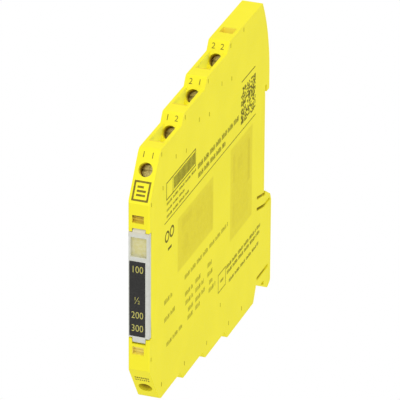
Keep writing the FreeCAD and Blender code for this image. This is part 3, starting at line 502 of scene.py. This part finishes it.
# Label. A dark matt card behind the flap's clear face, printed with a few plain yellow numbers. It is
# held in the flap and swings with it.
label_low, label_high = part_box("marking_label")
LABEL_ROWS = (("100", 5.4), ("½", -4.1), ("200", -8.6), ("300", -12.6))
LABEL_FIGURES = 3.0 * MM
LABEL_NARROWING = 0.80
LABEL_THINNING = 0.02 * MM
FIGURE_HEIGHT = 0.02 * MM
CARD_DARK = (0.020, 0.020, 0.019, 1)
CARD_LIGHT = (0.032, 0.031, 0.029, 1)
LABEL_YELLOW = (0.60, 0.56, 0.16, 1)
LABEL_YELLOW_WORN = (0.50, 0.46, 0.12, 1)
ALONG_X = Vector((1, 0, 0))
ALONG_Y = Vector((0, 1, 0))
ALONG_Z = Vector((0, 0, 1))


def dark_card():
    material, tree, surface = new_material("dark_card", roughness=0.5)
    fleck = add_patches(tree, scale=3000, detail=4.0)
    tree.links.new(add_mix(tree, fleck, CARD_DARK, CARD_LIGHT), surface.inputs["Base Color"])
    add_grain(tree, surface, scale=4000, relief=0.01 * MM, strength=0.25)
    return material


def uneven_print_and_shade(name, dark, light):
    """Printing that lies a little unevenly on the plastic, and the same uneven colour for the painted
    shade in the moulding marks.
    """
    material, tree, surface = new_material(name, roughness=0.55)
    surface.inputs["Specular IOR Level"].default_value = 0.10
    worn = add_patches(tree, scale=1800, detail=4.0, spread=(0.25, 0.75))
    tree.links.new(add_mix(tree, worn, dark, light), surface.inputs["Base Color"])
    return material


def add_piece(name, mesh, material, body):
    """Makes a finished piece from a bmesh, riding on a body of the frame."""
    data = bpy.data.meshes.new(name)
    mesh.to_mesh(data)
    mesh.free()
    data.materials.append(material)
    made = bpy.data.objects.new(name, data)
    bpy.context.scene.collection.objects.link(made)
    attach(made, body)


def add_number(mesh, text, size, width, thin, across, up, out, centre):
    """Adds plain printed figures to a bmesh, standing on a face given by three directions."""
    curve = bpy.data.curves.new("figures", "FONT")
    curve.body = text
    curve.size = size
    curve.align_x = "CENTER"
    curve.align_y = "CENTER"
    curve.extrude = FIGURE_HEIGHT / 2
    curve.resolution_u = 3
    curve.offset = -thin
    carrier = bpy.data.objects.new("figures", curve)
    bpy.context.scene.collection.objects.link(carrier)
    bpy.context.view_layer.update()
    settled = bpy.context.evaluated_depsgraph_get()
    shape = bpy.data.meshes.new_from_object(carrier.evaluated_get(settled))
    turn = Matrix((across * width, up, out)).transposed().to_4x4()
    shape.transform(Matrix.Translation(centre + out * (FIGURE_HEIGHT / 2)) @ turn)
    mesh.from_mesh(shape)
    bpy.data.objects.remove(carrier)
    bpy.data.curves.remove(curve)
    bpy.data.meshes.remove(shape)


finish_node("marking_label", dark_card())
label_print = bmesh.new()
for figures, height in LABEL_ROWS:
    centre = Vector(((label_low.x + label_high.x) / 2, label_low.y, middle_z + height * MM))
    add_number(
        label_print, figures, LABEL_FIGURES, LABEL_NARROWING, LABEL_THINNING,
        ALONG_X, ALONG_Z, -ALONG_Y, centre,
    )
label_yellow = uneven_print_and_shade("label_yellow", LABEL_YELLOW_WORN, LABEL_YELLOW)
add_piece("label_figures", label_print, label_yellow, "flap")

# Side printing. Laser-darkened marks on the right-hand face: two ruled lines, rows of small strokes, a
# striped block, a patch of dots, two rings and a plain frame. They say nothing, and only keep the tone
# of a printed side. All places are in millimetres from the front face and from mid height.
INK_DARK = (0.09, 0.076, 0.006, 1)
INK_LIGHT = (0.25, 0.22, 0.012, 1)
FAINT_INK_DARK = (0.30, 0.26, 0.012, 1)
FAINT_INK_LIGHT = (0.48, 0.42, 0.02, 1)
INK_HEIGHT = 0.012 * MM
STROKE_WIDTH = 0.34
STROKE_VARIATION = 0.08
STROKE_GAP = 0.3
WORD_GAP = 0.95
SHORTENING = 0.28
DASH_LENGTH = 0.4
DASH_HALF = 0.1
SHORTEST_STROKE = 0.2


def add_mark(mesh, low_y, high_y, low_z, high_z, base=0.0, rise=INK_HEIGHT):
    """A flat bar on the side face."""
    size = Vector((rise, (high_y - low_y) * MM, (high_z - low_z) * MM))
    centre = Vector((
        side_x + base + rise / 2,
        front_y + (low_y + high_y) / 2 * MM,
        middle_z + (low_z + high_z) / 2 * MM,
    ))
    placed = Matrix.Translation(centre) @ Matrix.Diagonal(size).to_4x4()
    bmesh.ops.create_cube(mesh, size=1, matrix=placed)


def add_strokes(mesh, start, end, height, tall):
    """A row of short upright strokes, in groups of six: some are shorter, and some have a dash."""
    place = start
    count = 0
    while place < end - SHORTEST_STROKE:
        count += 1
        wide = STROKE_WIDTH + STROKE_VARIATION * (count * 7 % 3)
        short = 0.0 if count * 5 % 4 else tall * SHORTENING
        add_mark(mesh, place, min(place + wide, end), height - tall / 2, height + tall / 2 - short)
        if count * 3 % 5 == 0:
            dash_end = min(place + wide + DASH_LENGTH, end)
            add_mark(mesh, place, dash_end, height - DASH_HALF, height + DASH_HALF)
        place += wide + (STROKE_GAP if count % 6 else WORD_GAP)


# Rows of strokes: start, end, height up the side and height of the strokes.
BOLD_ROWS = (
    (13.6, 37.1, 19.6, 0.8), (13.6, 28.6, 17.6, 0.7), (13.6, 31.4, 15.7, 0.8),
    (38.6, 73.4, 19.6, 1.6), (38.9, 61.8, 16.7, 1.5),
    (63.2, 88.9, -23.5, 1.15), (63.6, 88.9, -25.4, 1.15), (65.4, 88.9, -28.8, 1.0),
)
FAINT_ROWS = (
    (11.8, 18.2, -9.9, 1.5), (28.2, 47.5, -9.9, 1.4), (48.6, 64.3, -9.9, 1.3),
    (11.8, 20.4, -15.4, 1.4), (28.6, 35.0, -15.4, 1.4), (37.1, 41.1, -15.4, 1.4),
    (47.1, 50.4, -15.4, 1.4),
    (28.9, 35.0, -18.3, 1.4), (37.1, 43.9, -18.3, 1.4), (47.1, 51.1, -18.3, 1.4),
    (31.1, 35.0, -21.3, 1.4), (37.1, 45.0, -21.3, 1.4), (48.6, 51.4, -21.3, 1.4),
    (13.6, 26.4, -23.8, 1.3), (30.7, 35.0, -23.8, 1.4), (37.1, 40.7, -23.8, 1.4),
    (48.2, 53.6, -23.8, 1.4),
)

# Bars: the long ruled line, the short one over the dots and the bar under the rings.
BARS = ((11.8, 87.1, 14.15, 14.42), (74.9, 86.4, 29.4, 29.75), (14.6, 17.5, 4.9, 5.7))

# The plain frame and the bar inside it.
PLAIN_FRAME = (
    (56.0, 62.6, -28.6, -28.2), (56.0, 62.6, -23.0, -22.6),
    (56.0, 56.4, -28.2, -23.0), (62.2, 62.6, -28.2, -23.0),
    (58.0, 60.6, -26.0, -25.2),
)
side_print = bmesh.new()
faint_print = bmesh.new()
for row in BOLD_ROWS:
    add_strokes(side_print, *row)
for row in FAINT_ROWS:
    add_strokes(faint_print, *row)
for bar in BARS:
    add_mark(side_print, *bar)
for bar in PLAIN_FRAME:
    add_mark(faint_print, *bar)

# Striped block: a frame with one upright rule, and a row of equal stripes.
BLOCK_ENDS = (13.2, 36.8)
BLOCK_HEIGHTS = (20.8, 26.2)
BLOCK_RULE = 18.3
BLOCK_LINE = 0.35
STRIPES = 17
STRIPE_START = 19.4
STRIPE_WIDTH = 0.7
STRIPE_MARGIN = 0.9
low_z, high_z = BLOCK_HEIGHTS
for low in (low_z, high_z - BLOCK_LINE):
    add_mark(side_print, *BLOCK_ENDS, low, low + BLOCK_LINE)
for place in (BLOCK_ENDS[0], BLOCK_RULE, BLOCK_ENDS[1] - BLOCK_LINE):
    add_mark(side_print, place, place + BLOCK_LINE, low_z + BLOCK_LINE, high_z - BLOCK_LINE)
for count in range(STRIPES):
    place = STRIPE_START + count
    add_mark(side_print, place, place + STRIPE_WIDTH, low_z + STRIPE_MARGIN, high_z - STRIPE_MARGIN)

# Dotted patch: small cells scattered at random, which encode nothing.
CELL = 0.56
CELL_FACE = 0.53
CELL_SHARE = 0.56
PATCH_CORNER = (74.5, 16.3)
PATCH_CELLS = (22, 20)
scatter = random.Random(11)
for column in range(PATCH_CELLS[0]):
    for line in range(PATCH_CELLS[1]):
        if scatter.random() < CELL_SHARE:
            low_y = PATCH_CORNER[0] + column * CELL
            low_z = PATCH_CORNER[1] + line * CELL
            add_mark(side_print, low_y, low_y + CELL_FACE, low_z, low_z + CELL_FACE)

# Two plain rings, cut from discs. Their walls come in no fixed order, so the finished mesh is put in
# order along a slanting line, and is the same each time that it is made.
RING_PLACES = (13.9, 17.7)
RING_LEVEL = 9.6
RING_RADIUS = 1.75 * MM
RING_LINE = 0.65 * MM
RING_SIDES = 32
SLANTING = Vector((1.0, 3.1, 7.7))
face_sideways = Matrix.Rotation(math.radians(90), 4, "Y")
ring_print = bmesh.new()
for ring_y in RING_PLACES:
    centre = Vector((side_x, front_y + ring_y * MM, middle_z + RING_LEVEL * MM))
    bmesh.ops.create_circle(
        ring_print, cap_ends=True, radius=RING_RADIUS, segments=RING_SIDES,
        matrix=Matrix.Translation(centre) @ face_sideways,
    )
bmesh.ops.inset_individual(ring_print, faces=ring_print.faces[:], thickness=RING_LINE)
discs = [face for face in ring_print.faces if len(face.verts) == RING_SIDES]
bmesh.ops.delete(ring_print, geom=discs, context="FACES")
walls = bmesh.ops.extrude_face_region(ring_print, geom=ring_print.faces[:])
risen = [item for item in walls["geom"] if isinstance(item, bmesh.types.BMVert)]
bmesh.ops.translate(ring_print, verts=risen, vec=(INK_HEIGHT, 0, 0))
bmesh.ops.recalc_face_normals(ring_print, faces=ring_print.faces[:])
ring_print.verts.sort(key=lambda corner: corner.co.dot(SLANTING))
ring_print.faces.sort(key=lambda face: face.calc_center_median().dot(SLANTING))

laser_ink = uneven_print_and_shade("laser_ink", INK_DARK, INK_LIGHT)
faint_ink = uneven_print_and_shade("faint_ink", FAINT_INK_DARK, FAINT_INK_LIGHT)
add_piece("faint_printing", faint_print, faint_ink, "housing")
add_piece("side_printing", side_print, laser_ink, "housing")
add_piece("side_rings", ring_print, laser_ink, "housing")

# Moulding marks. Small upright recesses that the tool leaves in the right-hand face, beside the screws
# and near the corners. A dark sheet of painted shade fills most of the depth of each, so that it reads
# as a shaded recess.
MARK_WIDTH = 0.5
MARK_TALL = 1.4
MARK_DEPTH = 0.4 * MM
MARK_FILL = 0.32 * MM
MARK_SHADE_DARK = (0.20, 0.15, 0.010, 1)
MARK_SHADE_LIGHT = (0.30, 0.23, 0.014, 1)

# Marks beside each screw, along and into its slope from its axis, and marks by themselves.
MARKS_ABOVE = ((5.0, 1.9), (6.4, 14.6), (9.2, 22.6))
MARKS_BELOW = ((3.0, 3.4),)
LOOSE_MARKS = ((10.6, 25.9), (1.6, 25.0), (76.3, 45.2), (76.8, -43.3), (1.4, -22.2), (58.2, -33.1))


def beside_screw(count, along, deep=0.0):
    """A place beside a terminal's screw, in millimetres along its slope and into it."""
    y = BORE_START[0] + count * TERMINAL_STEP[0] + along * LEAN + deep * REACH
    z = BORE_START[1] + count * TERMINAL_STEP[1] + along * REACH - deep * LEAN
    return y, z


mark_places = list(LOOSE_MARKS)
for count in range(TERMINALS):
    last = count == TERMINALS - 1
    for half, marks in ((1, MARKS_ABOVE[:1] if last else MARKS_ABOVE), (-1, MARKS_BELOW)):
        for along, deep in marks:
            y, z = beside_screw(count, along, deep)
            mark_places.append((y, half * z))
# Dark sheets of painted shade in the moulding recesses.
mark_shade_fills = bmesh.new()
for y, z in mark_places:
    add_mark(
        mark_shade_fills, y - MARK_WIDTH / 2, y + MARK_WIDTH / 2, z - MARK_TALL / 2, z + MARK_TALL / 2,
        -MARK_DEPTH, MARK_FILL,
    )
mark_shade = uneven_print_and_shade("mark_shade", MARK_SHADE_DARK, MARK_SHADE_LIGHT)
add_piece("mark_shade_fills", mark_shade_fills, mark_shade, "housing")

# Foot printing. The three lowest lines of strokes run on from the housing over the foot, and the part
# on the foot moves with it.
FOOT_ROWS = ((89.3, 92.5, -23.5), (89.3, 92.1, -25.4), (89.3, 91.1, -28.8))
FOOT_STROKES = 1.1
foot_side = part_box("rail_foot")[1].x
foot_print = bmesh.new()
for start, end, height in FOOT_ROWS:
    add_strokes(foot_print, start, end, height, FOOT_STROKES)
bmesh.ops.translate(foot_print, verts=foot_print.verts, vec=(foot_side - side_x, 0, 0))
add_piece("foot_printing", foot_print, laser_ink, "foot")

# Step printing. A plain number of two figures above each terminal screw but the lower front one, a
# plain frame with three bars on the uppermost slope and two rows of strokes on the lowermost one.
STEP_FIGURES = 2.4 * MM
STEP_WIDENING = 0.95
STEP_LEVEL = 4.0
FIGURE_PLACES = (-1.3, 1.3)
UPPER_TENS = 1
LOWER_TENS = 3
STEP_INK_DARK = (0.16, 0.12, 0.02, 1)
STEP_INK_LIGHT = (0.28, 0.22, 0.03, 1)

# The frame's four sides and its bars: left, right, low and high on the slope.
STEP_FRAME = (
    (-2.4, 2.4, -8.8, -8.25), (-2.4, 2.4, -3.65, -3.1),
    (-2.4, -1.85, -8.35, -3.55), (1.85, 2.4, -8.35, -3.55),
    (-1.3, 1.3, -7.4, -6.8), (-1.3, 1.3, -6.25, -5.65), (-1.3, 0.5, -5.1, -4.5),
)
LOWER_ROWS = (-4.0, -5.2)
LOWER_STROKES = 7
LOWER_START = -2.1
LOWER_STRIDE = 0.62
LOWER_WIDTH = 0.34
LOWER_VARIATION = 0.12
LOWER_HALF = 0.36


def slope_place(count, half, across, along):
    """A point on a terminal's sloping face: across it, and along it from its screw's axis."""
    y, z = beside_screw(count, along)
    return Vector((across * MM, front_y + y * MM, middle_z + half * z * MM))


def slope_directions(half):
    """The directions up a terminal's sloping face and out of it."""
    return Vector((0, half * LEAN, REACH)), Vector((0, -REACH, half * LEAN))


def add_slope_bar(mesh, half, low_x, high_x, low, high):
    """A flat printed bar on the first slope of a half."""
    up, out = slope_directions(half)
    size = Vector(((high_x - low_x) * MM, (high - low) * MM, INK_HEIGHT))
    centre = slope_place(0, half, (low_x + high_x) / 2, (low + high) / 2) + out * (INK_HEIGHT / 2)
    turn = Matrix((ALONG_X, up, out)).transposed().to_4x4()
    placed = Matrix.Translation(centre) @ turn @ Matrix.Diagonal(size).to_4x4()
    bmesh.ops.create_cube(mesh, size=1, matrix=placed)


step_print = bmesh.new()
for half, tens, first in ((1, UPPER_TENS, 0), (-1, LOWER_TENS, 1)):
    up, out = slope_directions(half)
    for count in range(first, TERMINALS):
        pair = (str(tens + count // 2), str(1 + count % 2))
        for figure, across in zip(pair, FIGURE_PLACES):
            centre = slope_place(count, half, across, STEP_LEVEL)
            add_number(
                step_print, figure, STEP_FIGURES, STEP_WIDENING, 0.0, ALONG_X, up, out, centre)
for bar in STEP_FRAME:
    add_slope_bar(step_print, 1, *bar)
for row, along in enumerate(LOWER_ROWS):
    for count in range(LOWER_STROKES):
        wide = LOWER_WIDTH + LOWER_VARIATION * ((count * 3 + row) % 3)
        place = LOWER_START + count * LOWER_STRIDE
        top = along + LOWER_HALF - LOWER_VARIATION * ((count + row) % 2)
        add_slope_bar(step_print, -1, place, place + wide, along - LOWER_HALF, top)
step_ink = uneven_print_and_shade("step_ink", STEP_INK_DARK, STEP_INK_LIGHT)
add_piece("step_printing", step_print, step_ink, "housing")

# Terminal hardware. Turned steel screws with a yellow passivation, folded and zinc-plated clamp cages
# that ride on them, and stamped contact bars with a coat of tin. Each has its own fine working marks.


def worked_metal(name, dark, light, roughness):
    material, tree, surface = new_material(name, roughness, metallic=1.0)
    stain = add_patches(tree, scale=2600, detail=4.0)
    tree.links.new(add_mix(tree, stain, dark, light), surface.inputs["Base Color"])
    polish = add_patches(tree, scale=6000, to_low=roughness - 0.08, to_high=roughness + 0.1)
    tree.links.new(polish, surface.inputs["Roughness"])
    add_grain(tree, surface, scale=9000, relief=0.01 * MM, strength=0.3)
    return material


screw_steel = worked_metal("screw_steel", (0.34, 0.27, 0.09, 1), (0.58, 0.48, 0.19, 1), 0.42)
cage_steel = worked_metal("cage_steel", (0.50, 0.50, 0.50, 1), (0.68, 0.68, 0.67, 1), 0.35)
bar_tin = worked_metal("bar_tin", (0.62, 0.58, 0.50, 1), (0.76, 0.73, 0.66, 1), 0.3)
for count in range(1, 2 * TERMINALS + 1):
    finish_node(f"terminal_screw_{count}", screw_steel)
    finish_node(f"clamp_cage_{count}", cage_steel)
    finish_node(f"contact_bar_{count}", bar_tin)

# Electronics. A green board that carries two dark relay cases, chips, capacitors, a choke and four
# lamps behind the light guide. All of it is closed in when the cover is on.


def moulded_case(name, dark, light, roughness):
    material, tree, surface = new_material(name, roughness)
    cloud = add_patches(tree, scale=600)
    tree.links.new(add_mix(tree, cloud, dark, light), surface.inputs["Base Color"])
    add_grain(tree, surface, scale=5000, relief=0.02 * MM, strength=0.3)
    return material


for name, dark, light, roughness, nodes in (
    ("board_green", (0.010, 0.075, 0.028, 1), (0.016, 0.10, 0.038, 1), 0.3, ("circuit_board",)),
    ("relay_case", (0.016, 0.016, 0.018, 1), (0.028, 0.028, 0.03, 1), 0.35,
     ("safety_relay_1", "safety_relay_2")),
    ("chip_black", (0.012, 0.012, 0.013, 1), (0.022, 0.022, 0.023, 1), 0.5,
     ("microcontroller_1", "microcontroller_2", "optocoupler_1", "optocoupler_2", "fuse",
      "bridge_rectifier", "suppressor_diode")),
    ("capacitor_yellow", (0.50, 0.26, 0.04, 1), (0.58, 0.32, 0.06, 1), 0.4,
     ("smoothing_capacitor_1", "smoothing_capacitor_2")),
    ("led_lens", (0.72, 0.72, 0.62, 1), (0.80, 0.80, 0.72, 1), 0.25,
     ("power_led", "channel_led", "error_led", "diagnosis_led")),
    ("inductor_grey", (0.04, 0.04, 0.042, 1), (0.07, 0.07, 0.072, 1), 0.6, ("power_inductor",)),
):
    case = moulded_case(name, dark, light, roughness)
    for node_name in nodes:
        finish_node(node_name, case)

# Light guide. A clear moulding in the recess behind the flap, a little hazy, that carries the four
# lamps' light forwards.
GUIDE_DARK = (0.88, 0.90, 0.86, 1)
GUIDE_LIGHT = (0.94, 0.95, 0.92, 1)
GUIDE_ALPHA = 0.6
guide_clear, guide_tree, guide_surface = new_material("guide_clear", roughness=0.12)
guide_haze = add_patches(guide_tree, scale=700)
guide_tree.links.new(
    add_mix(guide_tree, guide_haze, GUIDE_DARK, GUIDE_LIGHT), guide_surface.inputs["Base Color"])
guide_surface.inputs["Alpha"].default_value = GUIDE_ALPHA
add_grain(guide_tree, guide_surface, scale=1200, relief=0.01 * MM, strength=0.15)
finish_node("light_guide", guide_clear)

# Colours are shown as they are.
bpy.context.scene.view_settings.view_transform = "Standard"
